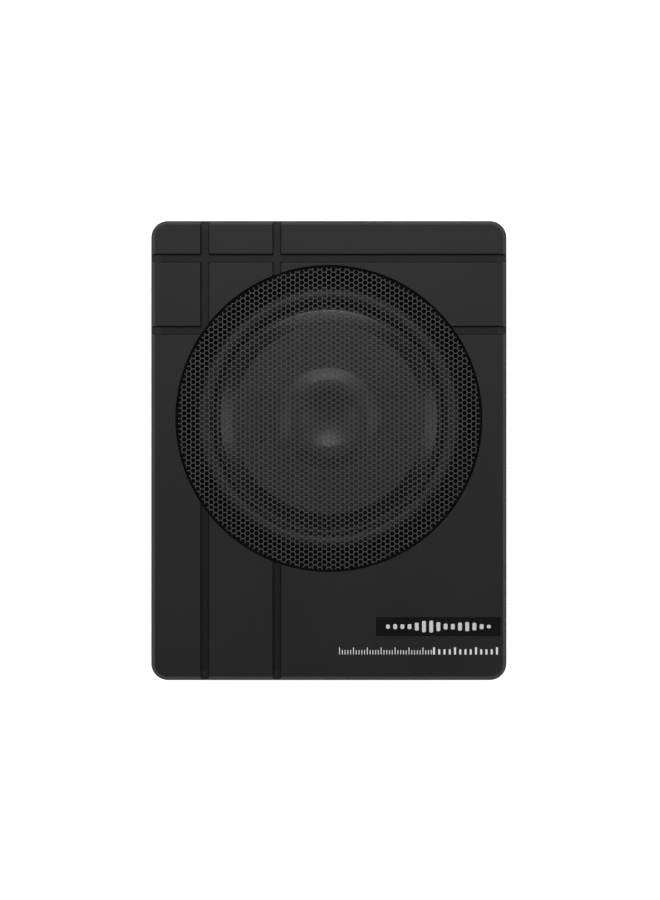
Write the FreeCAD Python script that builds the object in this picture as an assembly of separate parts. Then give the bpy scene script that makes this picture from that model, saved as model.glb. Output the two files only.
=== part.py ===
"""Powered under-seat car subwoofer: a flat sealed cabinet, a shallow driver and a built-in amplifier.

Millimetres. +Z is up, out through the grille. +X runs across the cabinet, and +Y along it, away from the
connector end. The origin is under the middle of the cabinet, on the plane that the rubber feet stand on.
"""

import FreeCAD, Part
import math
import os

os.makedirs("parts", exist_ok=True)

# ---- cabinet ----
WIDTH = 267.0
LENGTH = 345.0
HEIGHT = 77.0
CORNER_R = 12.5
EDGE_CHAMFER = 3.0
WALL = 4.0
FOOT_H = 4.0
BASE_T = 1.5
GASKET_T = 1.2
GASKET_INSET = 1.6

BASE_Z = FOOT_H
HOUSING_Z = BASE_Z + BASE_T
CEILING_Z = HEIGHT - WALL
END_Y = -LENGTH / 2

# ---- decorative grooves in the top face: centre lines and section ----
GROOVE_W = 6.7
GROOVE_DEPTH = 2.4
GROOVE_DRAFT = 0.8
GROOVES_ALONG_Y = (-93.1, -39.0)
GROOVES_ALONG_X = (144.3, 90.2)
GROOVE_CORNER_R = 0.9

# ---- driver position and seat ----
DRIVER_Y = 24.0
OPENING_R = 115.1
SEAT_WALL_R = 118.1
SEAT_BORE_R = 97.0
SEAT_Z = 59.0
SEAT_T = 3.5
SEAT_POST_Z = 47.0
PARTITION_Y = (-97.0, -94.0)

# ---- grille ----
MESH_R = 113.3
MESH_T = 1.0
MESH_Z = 75.2
CELL_PITCH = 11.76
CELL_ACROSS = 9.6
CELL_MARGIN = 5.5

# ---- driver ----
FRAME_T = 1.5
FRAME_Z = SEAT_Z + 1.5
FLANGE_R = 111.5
FLANGE_TOP = FRAME_Z + FRAME_T
DRIVER_SCREW_R = 107.6
DRIVER_SCREWS = 8
TRIM_TOP = 65.6
ROLL_MID_R = 93.5
ROLL_R = 7.5
ROLL_T = 0.8
CONE_TOP = 65.5
CONE_T = 1.0
CONE_EDGE_Z = 61.7
SHOULDER = ((72.3, CONE_TOP), (77.4, CONE_TOP - 2.0), (82.5, CONE_EDGE_Z))
LIP_T = 0.5
DUST_CAP_R = 44.0
FORMER_R = 25.2
FORMER_T = 0.4
COIL_R = 27.4
SPIDER_Z = 43.5
TOP_PLATE_Z = (26.5, 33.0)
BACK_PLATE_Z = (9.0, 14.0)
POLE_R = 24.3
LEAD_X = 50.5
LEAD_Y = 16.2

# ---- connector end ----
PANEL_HALF_W = 108.0
PANEL_Z = (14.0, 60.0)
PANEL_Y = (-160.0, -158.0)
TUNNEL_T = 3.0
TUNNEL_BACK_Y = -153.0
PANEL_LEDGE = 8.0
PANEL_CORNER = 4.0
MOUTH_CHAMFER = 1.0
ROW_LOW = 28.0
ROW_MID = 37.0
ROW_HIGH = 46.0
BOARD_Y = -147.0
BOARD_T = 1.6
POWER_X = -86.0
FUSE_X = -58.0
REMOTE_X = -33.0
LED_Z = 48.0
KNOB_X = {"level": -11.0, "lowpass": 11.0, "bass": 33.0}
SWITCH_X = 53.0
RCA_X = 71.0
SPEAKER_X = 90.0
SHAFT_R = 3.0
RUNNING = 0.04
SWITCH_TRAVEL = 4.0

# ---- amplifier ----
AMP_Z = 12.0
AMP_TOP = AMP_Z + BOARD_T
AMP_Y = (-152.0, -108.0)
AMP_HALF_W = 112.0

# ---- fixings: each screw is its shank radius, length, head radius and head height ----
BASE_SCREW = (1.5, 13.0, 2.8, 1.6)
FOOT_SCREW = (1.5, 6.5, 3.4, 1.5)
PANEL_SCREW = (1.5, 6.5, 2.8, 1.6)
BOARD_SCREW = (1.25, 8.0, 2.6, 1.6)
DRIVER_SCREW = (1.75, 16.0, 3.3, 2.2)
SCREW_PLAY = 0.05
POST_R = 4.5
BASE_SCREW_AT = [(x, y) for x in (-121, 121) for y in (-160, 160)]
BASE_SCREW_AT += [(x, y) for x in (-124, 124) for y in (-70, 100)] + [(-40, 165), (40, 165)]
FOOT_AT = [(x, y) for x in (-105, 105) for y in (-142, 142)]
FOOT_SCREW_Z = 2.2
INSERT_Y = (-125.0, 125.0)
INSERT_Z = 24.0
INSERT_R = 2.1
INSERT_OUTER_R = 3.45
INSERT_LENGTH = 8.0
INSERT_PAD_R = 6.0
BOARD_SCREW_AT = [(-106, -146), (-106, -113), (2, -139), (106, -113), (106, -146)]
WIRE_X = (95.0, 101.0)
WIRE_Z = 32.0
WIRE_R = 1.4
WIRE_HOLE_R = 1.6


def vec(x, y, z):
    return FreeCAD.Vector(x, y, z)


def box(x0, x1, y0, y1, z0, z1):
    return Part.makeBox(x1 - x0, y1 - y0, z1 - z0, vec(x0, y0, z0))


def rod(r, z0, z1, x=0.0, y=0.0):
    """A cylinder that stands along Z."""
    return Part.makeCylinder(r, z1 - z0, vec(x, y, z0))


def rod_y(r, y0, y1, x, z):
    """A cylinder that lies along Y."""
    return Part.makeCylinder(r, y1 - y0, vec(x, y0, z), vec(0, 1, 0))


def rod_x(r, x0, x1, y, z):
    """A cylinder that lies along X."""
    return Part.makeCylinder(r, x1 - x0, vec(x0, y, z), vec(1, 0, 0))


def ring(r_in, r_out, z0, z1, x=0.0, y=0.0):
    return rod(r_out, z0, z1, x, y).cut(rod(r_in, z0 - 1, z1 + 1, x, y))


def slab(width, length, corner, z0, z1):
    """A rectangular plate with round corners, centred on the Z axis."""
    plate = box(-width / 2, width / 2, -length / 2, length / 2, z0, z1)
    upright = [e for e in plate.Edges if abs(e.BoundBox.ZLength - (z1 - z0)) < 1e-6]
    return plate.makeFillet(corner, upright)


def upright_slab(half_w, z, corner, y0, y1):
    """A plate with round corners that faces along Y."""
    plate = box(-half_w, half_w, y0, y1, z[0], z[1])
    across = [e for e in plate.Edges if abs(e.BoundBox.YLength - (y1 - y0)) < 1e-6]
    return plate.makeFillet(corner, across)


def joined(shape, *others):
    """Everything fused into one solid."""
    for other in others:
        shape = shape.fuse(other)
    return shape.removeSplitter()


def without(shape, *others):
    for other in others:
        shape = shape.cut(other)
    return shape


def turned(start, *steps):
    """A solid turned about the driver axis. A step is a point (radius, height), or an arc (through, end)."""
    edges = []
    here = vec(start[0], 0, start[1])
    for step in (*steps, start):
        if isinstance(step[0], tuple):
            through, end = (vec(r, 0, z) for r, z in step)
            edges.append(Part.Arc(here, through, end).toShape())
        else:
            end = vec(step[0], 0, step[1])
            edges.append(Part.LineSegment(here, end).toShape())
        here = end
    face = Part.Face(Part.Wire(edges))
    solid = face.revolve(vec(0, 0, 0), vec(0, 0, 1), 360)
    solid.translate(vec(0, DRIVER_Y, 0))
    return solid


def around(count, radius, start_deg=0.0):
    """Evenly spaced places on a circle about the driver's axis."""
    for k in range(count):
        angle = math.radians(start_deg + 360.0 * k / count)
        yield radius * math.cos(angle), DRIVER_Y + radius * math.sin(angle)


def screw(shank_r, length, head_r, head_h):
    """A pan-head screw with a cross recess: the head stands on Z = 0 and the shank points down."""
    dome = rod(head_r, 0, head_h)
    rim = [e for e in dome.Edges if abs(e.BoundBox.ZMin - head_h) < 1e-6 and e.BoundBox.XLength > head_r]
    solid = dome.makeFillet(head_h * 0.45, rim).fuse(rod(shank_r, -length, 0))
    slot_l, slot_w = head_r * 1.1, head_r * 0.26
    for a, b in ((slot_l, slot_w), (slot_w, slot_l)):
        solid = solid.cut(box(-a / 2, a / 2, -b / 2, b / 2, head_h * 0.4, head_h + 1))
    return solid


def aimed(solid, x, y, z, axis=(0, 0, 1)):
    """A copy of a solid made about Z = 0, with its +Z turned to axis and its origin moved to the point."""
    copy = solid.copy()
    copy.Placement = FreeCAD.Placement(vec(x, y, z), FreeCAD.Rotation(vec(0, 0, 1), vec(*axis)))
    return copy


def cable(points, radius):
    """A tube along straight runs joined by tangent arcs, each as large as its two runs allow."""
    spots = [vec(*p) for p in points]
    edges, bends, here = [], [], spots[0]
    for a, b, c in zip(spots, spots[1:], spots[2:]):
        back, ahead = (a - b), (c - b)
        turn = math.pi - back.getAngle(ahead)
        cut = 0.45 * min(back.Length, ahead.Length)
        bend = cut / math.tan(turn / 2)
        back.normalize()
        ahead.normalize()
        enter, leave = b + back * cut, b + ahead * cut
        inward = (back + ahead).normalize()
        reach = math.hypot(bend, cut) - bend
        bends.append(round(bend, 1))
        edges.append(Part.LineSegment(here, enter).toShape())
        edges.append(Part.Arc(enter, b + inward * reach, leave).toShape())
        here = leave
    edges.append(Part.LineSegment(here, spots[-1]).toShape())
    path = Part.Wire(edges)
    start = Part.Wire(Part.makeCircle(radius, spots[0], spots[1] - spots[0]))
    tube = path.makePipeShell([start], True, False)
    print("bend radii", bends, "filled", round(tube.Volume / (math.pi * radius**2 * path.Length), 4))
    return tube


def save(name, *solids):
    shape = solids[0] if len(solids) == 1 else Part.makeCompound(list(solids))
    shape.exportStep(f"parts/{name}.step")


# ---------------------------------------------------------------- cabinet

def top_housing():
    """The cast cabinet: grooved top face, side walls, driver seat, partition and the panel's recess."""
    outer = slab(WIDTH, LENGTH, CORNER_R, HOUSING_Z, HEIGHT)
    rim = [e for e in outer.Edges if e.BoundBox.ZMin > HEIGHT - 1e-6]
    body = outer.makeChamfer(EDGE_CHAMFER, rim)
    body = body.cut(slab(WIDTH - 2 * WALL, LENGTH - 2 * WALL, CORNER_R - WALL, HOUSING_Z - 1, CEILING_Z))
    posts = [rod(POST_R, HOUSING_Z, CEILING_Z + 1, x, y) for x, y in BASE_SCREW_AT]
    seat = [
        ring(OPENING_R, SEAT_WALL_R, SEAT_Z - SEAT_T, CEILING_Z + 1, 0, DRIVER_Y),
        ring(SEAT_BORE_R, SEAT_WALL_R, SEAT_Z - SEAT_T, SEAT_Z, 0, DRIVER_Y),
    ]
    seat += [rod(POST_R, SEAT_POST_Z, SEAT_Z, x, y) for x, y in driver_screw_places()]
    inner_half = WIDTH / 2 - WALL + 1
    partition = box(-inner_half, inner_half, *PARTITION_Y, HOUSING_Z + GASKET_T, CEILING_Z + 1)
    tunnel_z = (PANEL_Z[0] - TUNNEL_T, PANEL_Z[1] + TUNNEL_T)
    tunnel = upright_slab(PANEL_HALF_W + TUNNEL_T, tunnel_z, PANEL_CORNER + TUNNEL_T, END_Y, TUNNEL_BACK_Y)
    pads = [insert_pad(side, y) for side in (-1, 1) for y in INSERT_Y]
    body = joined(body, *posts, *seat, partition, tunnel, *pads)
    behind_z = (PANEL_Z[0] + PANEL_LEDGE, PANEL_Z[1] - PANEL_LEDGE)
    cuts = [
        rod(OPENING_R, SEAT_Z, HEIGHT + 1, 0, DRIVER_Y),
        rod(SEAT_BORE_R, SEAT_Z - SEAT_T - 1, SEAT_Z + 1, 0, DRIVER_Y),
        upright_slab(PANEL_HALF_W, PANEL_Z, PANEL_CORNER, END_Y - 1, PANEL_Y[1]),
        upright_slab(PANEL_HALF_W - PANEL_LEDGE, behind_z, 3.0, PANEL_Y[1] - 1, TUNNEL_BACK_Y + 1),
        badge_pocket(),
    ]
    cuts += [rod(pilot(BASE_SCREW), HOUSING_Z - 1, 20, x, y) for x, y in BASE_SCREW_AT]
    cuts += [rod(pilot(DRIVER_SCREW), SEAT_POST_Z - 1, SEAT_Z + 1, x, y) for x, y in driver_screw_places()]
    for x, z in panel_screw_places():
        cuts.append(rod_y(pilot(PANEL_SCREW), PANEL_Y[1] - 1, TUNNEL_BACK_Y + 1, x, z))
    cuts += [insert_seat(side, y) for side in (-1, 1) for y in INSERT_Y]
    cuts += [rod_y(WIRE_HOLE_R, PARTITION_Y[0] - 1, PARTITION_Y[1] + 1, x, WIRE_Z) for x in WIRE_X]
    cuts += [gasket_ring(0.0)]
    body = soften_mouth(without(body, *cuts))
    return round_groove_corners(without(body, *grooves()))


def pilot(screw_size):
    """Radius of the hole that a screw cuts its thread in."""
    return screw_size[0] + SCREW_PLAY


def soften_mouth(body):
    """A chamfer round the mouth of the panel's recess."""
    mouth = []
    for edge in body.Edges:
        b = edge.BoundBox
        at_end = b.YMax < END_Y + 1e-6
        inside = max(-b.XMin, b.XMax) < PANEL_HALF_W + 1e-3
        level = b.ZMin > PANEL_Z[0] - 1e-3 and b.ZMax < PANEL_Z[1] + 1e-3
        if at_end and inside and level:
            mouth.append(edge)
    print("mouth edges chamfered:", len(mouth))
    return body.makeChamfer(MOUTH_CHAMFER, mouth)


def channel(half_top, half_floor, length):
    """A groove's cutter along Y: walls that lean outwards, and a flat floor."""
    floor = HEIGHT - GROOVE_DEPTH
    rise = 1.0
    high = HEIGHT + rise
    half_high = half_top + (half_top - half_floor) * rise / GROOVE_DEPTH
    outline = [(-half_floor, floor), (half_floor, floor), (half_high, high), (-half_high, high)]
    corners = [vec(x, -length / 2, z) for x, z in outline + outline[:1]]
    return Part.Face(Part.makePolygon(corners)).extrude(vec(0, length, 0))


def grooves():
    cutter = channel(GROOVE_W / 2, GROOVE_W / 2 - GROOVE_DRAFT, 2 * LENGTH)
    for x in GROOVES_ALONG_Y:
        yield aimed(cutter, x, 0, 0)
    for y in GROOVES_ALONG_X:
        crossing = cutter.copy()
        crossing.rotate(vec(0, 0, 0), vec(0, 0, 1), 90)
        crossing.translate(vec(0, y, 0))
        yield crossing


def round_groove_corners(body):
    """The corners where two grooves cross are rounded, as a casting's are."""
    chosen = []
    half = GROOVE_W / 2
    for edge in body.Edges:
        b = edge.BoundBox
        leans = abs(b.XLength - GROOVE_DRAFT) < 1e-3 and abs(b.YLength - GROOVE_DRAFT) < 1e-3
        tall = abs(b.ZLength - GROOVE_DEPTH) < 1e-3
        x, y = b.Center.x, b.Center.y
        at_x = any(abs(abs(x - at) - half + GROOVE_DRAFT / 2) < 1e-2 for at in GROOVES_ALONG_Y)
        at_y = any(abs(abs(y - at) - half + GROOVE_DRAFT / 2) < 1e-2 for at in GROOVES_ALONG_X)
        clear = math.hypot(x, y - DRIVER_Y) > OPENING_R + 2 * GROOVE_CORNER_R
        if leans and tall and at_x and at_y and clear:
            chosen.append(edge)
    print("groove corners rounded:", len(chosen))
    return body.makeFillet(GROOVE_CORNER_R, chosen)


def gasket_ring(play):
    """The strip between the base cover and the cabinet's lower edge, thinner by play all round."""
    outside = slab(
        WIDTH - 2 * (GASKET_INSET + play),
        LENGTH - 2 * (GASKET_INSET + play),
        CORNER_R - GASKET_INSET - play,
        HOUSING_Z,
        HOUSING_Z + GASKET_T,
    )
    span = (HOUSING_Z - 1, HOUSING_Z + GASKET_T + 1)
    strip = outside.cut(slab(WIDTH - 2 * WALL, LENGTH - 2 * WALL, CORNER_R - WALL, *span))
    return without(strip, *[rod(POST_R + 1, 0, HEIGHT, x, y) for x, y in BASE_SCREW_AT])


def insert_pad(side, y):
    """The boss inside a long wall that an insert is set in."""
    reach = sorted((side * (WIDTH / 2 - INSERT_LENGTH - 1.5), side * (WIDTH / 2 - 2.5)))
    return rod_x(INSERT_PAD_R, *reach, y, INSERT_Z)


def insert_seat(side, y):
    reach = sorted((side * (WIDTH / 2 - INSERT_LENGTH), side * (WIDTH / 2 + 1)))
    return rod_x(INSERT_OUTER_R + SCREW_PLAY, *reach, y, INSERT_Z)


def threaded_inserts():
    """Brass M5 inserts in the long sides, for floor brackets."""
    for side in (-1, 1):
        for y in INSERT_Y:
            low, high = sorted((side * (WIDTH / 2 - INSERT_LENGTH), side * WIDTH / 2))
            sleeve = rod_x(INSERT_OUTER_R, low, high, y, INSERT_Z)
            yield sleeve.cut(rod_x(INSERT_R, low - 1, high + 1, y, INSERT_Z))


def base_cover():
    """The steel cover under the cabinet, with clinch nuts for the feet and the amplifier board."""
    plate = slab(WIDTH - 2.0, LENGTH - 2.0, CORNER_R - 1.0, BASE_Z, BASE_Z + BASE_T)
    nuts = [rod(3.5, BASE_Z + BASE_T - 0.5, BASE_Z + BASE_T + 3.5, x, y) for x, y in FOOT_AT]
    nuts += [rod(3.0, BASE_Z + BASE_T - 0.5, AMP_Z, x, y) for x, y in BOARD_SCREW_AT]
    holes = [rod(1.7, 0, 10, x, y) for x, y in BASE_SCREW_AT]
    holes += [rod(1.55, 0, 20, x, y) for x, y in FOOT_AT]
    holes += [rod(1.3, BASE_Z + 1.0, 20, x, y) for x, y in BOARD_SCREW_AT]
    return without(joined(plate, *nuts), *holes)


def rubber_feet():
    for x, y in FOOT_AT:
        foot = rod(10.0, 0, FOOT_H, x, y)
        sole = [e for e in foot.Edges if e.BoundBox.ZMax < 1e-6]
        counterbore = rod(4.2, -1, FOOT_SCREW_Z, x, y)
        yield without(foot.makeChamfer(0.8, sole), counterbore, rod(1.6, 0, FOOT_H + 1, x, y))


# ---------------------------------------------------------------- badge

BADGE_AT = (82.1, -132.0)
BADGE_SIZE = (93.0, 13.8)
BADGE_FLOOR = 76.0
BADGE_TOP = 76.75
BADGE_BARS = 15
BADGE_BAR_STEP = 5.4
BADGE_BAR_HALF_W = 1.45


def badge_block(half_w, half_h, z0, z1):
    x, y = BADGE_AT
    return box(x - half_w, x + half_w, y - half_h, y + half_h, z0, z1)


def badge_pocket():
    return badge_block(BADGE_SIZE[0] / 2 + 0.15, BADGE_SIZE[1] / 2 + 0.15, BADGE_FLOOR, HEIGHT + 1)


def badge_bars():
    """A row of raised bars whose heights rise and fall, as on a level meter."""
    for k in range(BADGE_BARS):
        phase = math.pi * (k + 0.5) / BADGE_BARS
        height = 2.4 + 7.0 * math.sin(phase) * (0.62 + 0.38 * math.cos(5 * phase))
        x = BADGE_AT[0] + (k - (BADGE_BARS - 1) / 2) * BADGE_BAR_STEP
        y, w = BADGE_AT[1], BADGE_BAR_HALF_W
        yield box(x - w, x + w, y - height / 2, y + height / 2, BADGE_TOP, HEIGHT)


# ---------------------------------------------------------------- grille

def honeycomb_places(radius):
    """Centres of a six-sided lattice whose nearest neighbours lie along Y."""
    column = CELL_PITCH * math.cos(math.radians(30))
    reach = int(radius / column) + 1
    for i in range(-reach, reach + 1):
        for j in range(-reach - 1, reach + 2):
            x, y = i * column, (j + 0.5 * (i % 2)) * CELL_PITCH
            if math.hypot(x, y) < radius:
                yield x, y


def hexagon(x, y, across, z):
    r = across / math.sqrt(3)
    turns = [math.radians(60 * k) for k in range(7)]
    return Part.makePolygon([vec(x + r * math.cos(a), y + r * math.sin(a), z) for a in turns])


def grille_mesh():
    """The flat perforated steel disc."""
    disc = Part.Face(Part.Wire(Part.makeCircle(MESH_R, vec(0, 0, MESH_Z))))
    places = honeycomb_places(MESH_R - CELL_MARGIN)
    cells = [Part.Face(hexagon(x, y, CELL_ACROSS, MESH_Z)) for x, y in places]
    sheet = disc.cut(Part.makeCompound(cells))
    solid = sheet.Faces[0].extrude(vec(0, 0, MESH_T))
    solid.translate(vec(0, DRIVER_Y, 0))
    return solid


def grille_ring():
    """The plastic ring that carries the mesh and stands on the driver seat."""
    wall_in = MESH_R + 0.2
    wall_out = OPENING_R - 0.2
    return turned(
        (wall_in, SEAT_Z), (wall_out, SEAT_Z), (wall_out, MESH_Z + 0.4), (wall_in, MESH_Z + 0.4),
        (wall_in, MESH_Z), (109.6, MESH_Z), (109.6, MESH_Z - 1.5), (wall_in, MESH_Z - 3.5),
    )


# ---------------------------------------------------------------- driver

def driver_screw_places():
    return list(around(DRIVER_SCREWS, DRIVER_SCREW_R, 22.5))


def driver_frame():
    """The stamped steel basket: seat flange, sloping wall with windows, spider landing and motor seat."""
    t = FRAME_T
    basket = turned(
        (FLANGE_R, FRAME_Z), (FLANGE_R, FLANGE_TOP), (94.6, FLANGE_TOP), (93.6, 53.2), (69.5, 47.2),
        (69.5, SPIDER_Z), (59.5, SPIDER_Z), (54.5, TOP_PLATE_Z[1] + t), (36.0, TOP_PLATE_Z[1] + t),
        (36.0, TOP_PLATE_Z[1]), (55.5, TOP_PLATE_Z[1]), (60.5, SPIDER_Z - t), (71.0, SPIDER_Z - t),
        (71.0, 45.9), (95.1, 51.9), (96.1, FRAME_Z),
    )
    window = ring(73.5, 91.0, 40, 58, 0, DRIVER_Y)
    spoke = box(0, 120, DRIVER_Y - 11, DRIVER_Y + 11, 39, 59)
    spokes = [spoke.copy().rotate(vec(0, DRIVER_Y, 0), vec(0, 0, 1), 60 * k) for k in range(6)]
    holes = [rod(1.95, FRAME_Z - 1, FLANGE_TOP + 1, x, y) for x, y in driver_screw_places()]
    return without(basket, without(window, *spokes), *holes)


def flange_rings():
    """The foam gasket under the frame's flange and the rubber trim ring on top of it."""
    holes = [rod(2.1, SEAT_Z - 1, 70, x, y) for x, y in driver_screw_places()]
    foam = ring(97.6, FLANGE_R - 0.3, SEAT_Z, FRAME_Z, 0, DRIVER_Y)
    trim = turned(
        (101.6, FLANGE_TOP + ROLL_T), (101.6, TRIM_TOP), (FLANGE_R - 0.2, TRIM_TOP),
        (FLANGE_R - 0.2, FLANGE_TOP), (105.4, FLANGE_TOP), (105.4, FLANGE_TOP + ROLL_T),
    )
    return without(foam, *holes), without(trim, *holes)


def surround():
    """The rubber half roll. Its inner lip is glued over the cone's shoulder, its flange to the frame."""
    inner, outer = ROLL_MID_R - ROLL_R, ROLL_MID_R + ROLL_R
    low = FLANGE_TOP
    top = low + ROLL_T
    rise = ROLL_R - ROLL_T
    lip = LIP_T
    crease, half, edge = SHOULDER
    return turned(
        edge, (half, crease), (crease[0] + 0.2, crease[1] + lip),
        ((half[0] + 0.2, half[1] + lip), (edge[0] + 0.3, edge[1] + lip)), (inner, top),
        ((ROLL_MID_R, top + ROLL_R), (outer, top)),
        (105.2, top), (105.2, low), (outer - ROLL_T, low),
        ((ROLL_MID_R, top + rise), (inner + ROLL_T, low)),
        (inner, CONE_EDGE_Z),
    )


def cone():
    """The flat-faced diaphragm: neck on the former, wide flat ring, sloping shoulder and glue edge."""
    top, t = CONE_TOP, CONE_T
    crease, half, edge = SHOULDER
    return turned(
        (FORMER_R + FORMER_T, 58.0), (FORMER_R + FORMER_T + t, 58.0), (33.4, top - t), (72.0, top - t),
        ((77.0, half[1] - t * 0.9), (82.2, CONE_EDGE_Z - t)), (85.8, CONE_EDGE_Z - t),
        (85.8, CONE_EDGE_Z), edge, (half, crease), (32.8, top),
        (FORMER_R + FORMER_T, 60.5),
    )


def dish_height(r, bottom, sphere_r):
    """Height of a spherical dish at radius r, where its lowest point is at bottom."""
    return bottom + sphere_r - math.sqrt(sphere_r**2 - r**2)


def dust_cap():
    """The pressed centre cap: flat rim, sloping flank, a level crest and a spherical dish inside it."""
    z, t = CONE_TOP, 0.7
    bottom, sphere_r, crest_z = 65.0, 64.0, 68.6
    half, lip = 10.5, 21.0
    under, under_r = bottom - t, sphere_r + t
    return turned(
        (DUST_CAP_R, z), (DUST_CAP_R, z + t), (38.6, z + t),
        ((34.0, z + 1.7), (29.4, crest_z)),
        ((25.5, crest_z + 0.15), (lip, dish_height(lip, bottom, sphere_r))),
        ((half, dish_height(half, bottom, sphere_r)), (0.0, bottom)),
        (0.0, under),
        ((half, dish_height(half, under, under_r)), (lip, dish_height(lip, under, under_r))),
        ((25.3, crest_z + 0.15 - t), (29.0, crest_z - t)), ((33.7, z + 1.7 - t), (37.8, z)),
    )


def spider():
    """The corrugated damper between the former and the frame's landing."""
    t, waves, height = 0.7, 5, 1.3
    inner, outer, steps = 29.0, 58.5, 8
    upper = []
    for k in range(waves * steps + 1):
        r = inner + (outer - inner) * k / (waves * steps)
        upper.append((r, SPIDER_Z + t + height * math.sin(2 * math.pi * k / steps)))
    collar = FORMER_R + FORMER_T
    lower = [(r, z - t) for r, z in reversed(upper)]
    low, high, outside = SPIDER_Z, SPIDER_Z + 3.0, collar + 0.8
    return turned(
        (collar, low), (collar, high), (outside, high), (outside, low + t),
        *upper, (69.3, low + t), (69.3, low), *lower,
    )


def voice_coil():
    base = 21.0
    former = ring(FORMER_R, FORMER_R + FORMER_T, base, 63.5, 0, DRIVER_Y)
    winding = ring(FORMER_R + FORMER_T, COIL_R, base + 1.0, base + 17.0, 0, DRIVER_Y)
    return former, winding


def motor():
    """Top plate, ferrite ring and the back plate with its pole."""
    low, high = TOP_PLATE_Z
    top_plate = ring(28.3, 50.0, low, high, 0, DRIVER_Y)
    magnet = ring(31.0, 54.0, BACK_PLATE_Z[1], low, 0, DRIVER_Y)
    under, over = BACK_PLATE_Z
    back = turned(
        (6.0, under), (49.5, under), (51.0, under + 1.5), (51.0, over),
        (POLE_R, over), (POLE_R, high - 0.5), (POLE_R - 1.0, high + 0.5), (6.0, high + 0.5),
    )
    return top_plate, magnet, back


def lead_places():
    return [(sx * LEAD_X, DRIVER_Y + sy * LEAD_Y, sx, sy) for sx in (-1, 1) for sy in (-1, 1)]


def terminal_boards(frame):
    """A terminal board on the left and right spokes, with two solder lugs each."""
    boards, lugs = [], []
    for side in (-1, 1):
        reach = sorted((side * 72.5, side * 82.5))
        boards.append(box(*reach, DRIVER_Y - 9, DRIVER_Y + 9, 46, 52.5).cut(frame).Solids)
        lug_x = sorted((side * 74.5, side * 78.5))
        for lug_y in (DRIVER_Y - 5.5, DRIVER_Y + 5.5):
            lugs.append(box(*lug_x, lug_y - 1.5, lug_y + 1.5, 52.5, 53.3))
    return [max(solids, key=lambda s: s.BoundBox.ZMax) for solids in boards], lugs


def tinsel_leads():
    """Flexible leads that hang under the cone, from its eyelets to the solder lugs."""
    for x, y, sx, sy in lead_places():
        lug_x, lug_y = sx * 76.5, DRIVER_Y + sy * 5.5
        route = [
            (x, y, CONE_TOP - CONE_T), (x, y, 59.5), (sx * 56.5, DRIVER_Y + sy * 12.5, 54.5),
            (sx * 65.0, DRIVER_Y + sy * 8.5, 54.0), (sx * 72.5, DRIVER_Y + sy * 6.2, 57.5),
            (lug_x, lug_y, 58.0), (lug_x, lug_y, 53.3),
        ]
        yield cable(route, 0.6)


# ---------------------------------------------------------------- connector end

def panel_screw_places():
    return [(x, z) for x in (-103.5, 0.0, 103.5) for z in (PANEL_Z[0] + 4.3, PANEL_Z[1] - 4.3)]


def control_panel():
    play = 0.3
    z = (PANEL_Z[0] + play, PANEL_Z[1] - play)
    plate = upright_slab(PANEL_HALF_W - play, z, PANEL_CORNER - play, *PANEL_Y)
    front, back = PANEL_Y[0] - 1, PANEL_Y[1] + 1
    cuts = [rod_y(1.7, front, back, x, z) for x, z in panel_screw_places()]
    cuts += [rod_y(3.7, front, back, x, ROW_MID) for x in KNOB_X.values()]
    cuts += [rod_y(5.0, front, back, RCA_X, z) for z in (ROW_LOW, ROW_HIGH)]
    cuts += [box(SWITCH_X - 3.7, SWITCH_X + 3.7, front, back, z - 1.7, z + 1.7) for z in (ROW_LOW, ROW_HIGH)]
    cuts += [
        rod_y(1.6, front, back, REMOTE_X, LED_Z),
        box(REMOTE_X - 7.2, REMOTE_X + 7.2, front, back, ROW_LOW - 4.7, ROW_LOW + 8.7),
        box(POWER_X - 12.2, POWER_X + 12.2, front, back, ROW_MID - 9.2, ROW_MID + 9.2),
        box(SPEAKER_X - 8.7, SPEAKER_X + 8.7, front, back, ROW_MID - 6.7, ROW_MID + 6.7),
        box(FUSE_X - 12.2, FUSE_X + 12.2, front, back, ROW_MID - 5.7, ROW_MID + 5.7),
    ]
    return without(plate, *cuts)


def header(x, half_w, half_h, pin_places, pin_half, pedestal):
    """A shrouded socket that faces the connector end, and its pins."""
    wall, mouth, floor, back = 1.5, -168.0, -156.0, BOARD_Y
    shroud = box(x - half_w, x + half_w, mouth, back, ROW_MID - half_h, ROW_MID + half_h)
    low, high = ROW_MID - half_h + wall, ROW_MID + half_h - wall
    shroud = shroud.cut(box(x - half_w + wall, x + half_w - wall, mouth - 1, floor, low, high))
    if pedestal:
        shroud = joined(shroud, box(x - half_w, x + half_w, -152.0, back + 5, AMP_TOP, ROW_MID + half_h))
    w, h = pin_half
    pins = []
    for px, pz in pin_places:
        pins.append(box(x + px - w, x + px + w, floor - 6, back, ROW_MID + pz - h, ROW_MID + pz + h))
    return without(shroud, *pins), pins


def remote_jack():
    """A six-way modular jack for the wired remote level control."""
    z0, z1 = ROW_LOW - 4.5, ROW_LOW + 8.5
    body = box(REMOTE_X - 7, REMOTE_X + 7, -161.0, BOARD_Y, z0, z1)
    body = body.cut(box(REMOTE_X - 5, REMOTE_X + 5, -162, -149.5, z0 + 3.2, z1 - 2.0))
    return body.cut(box(REMOTE_X - 1.9, REMOTE_X + 1.9, -162, -155, z0 + 1.3, z0 + 4))


def fuse_holder():
    """A block with one blade-fuse seat."""
    body = box(FUSE_X - 12, FUSE_X + 12, -161.0, -142, ROW_MID - 5.5, ROW_MID + 5.5)
    body = joined(body, box(FUSE_X - 12, FUSE_X + 12, -152, -142, AMP_TOP, ROW_MID))
    cuts = [box(FUSE_X - 10.0, FUSE_X + 10.0, -162, -156.6, ROW_MID - 3.0, ROW_MID + 3.0)]
    for s in (-1, 1):
        x = FUSE_X + s * 6.7
        cuts.append(box(x - 3.0, x + 3.0, -157, -145.5, ROW_MID - 0.8, ROW_MID + 0.8))
    return without(body, *cuts)


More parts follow.
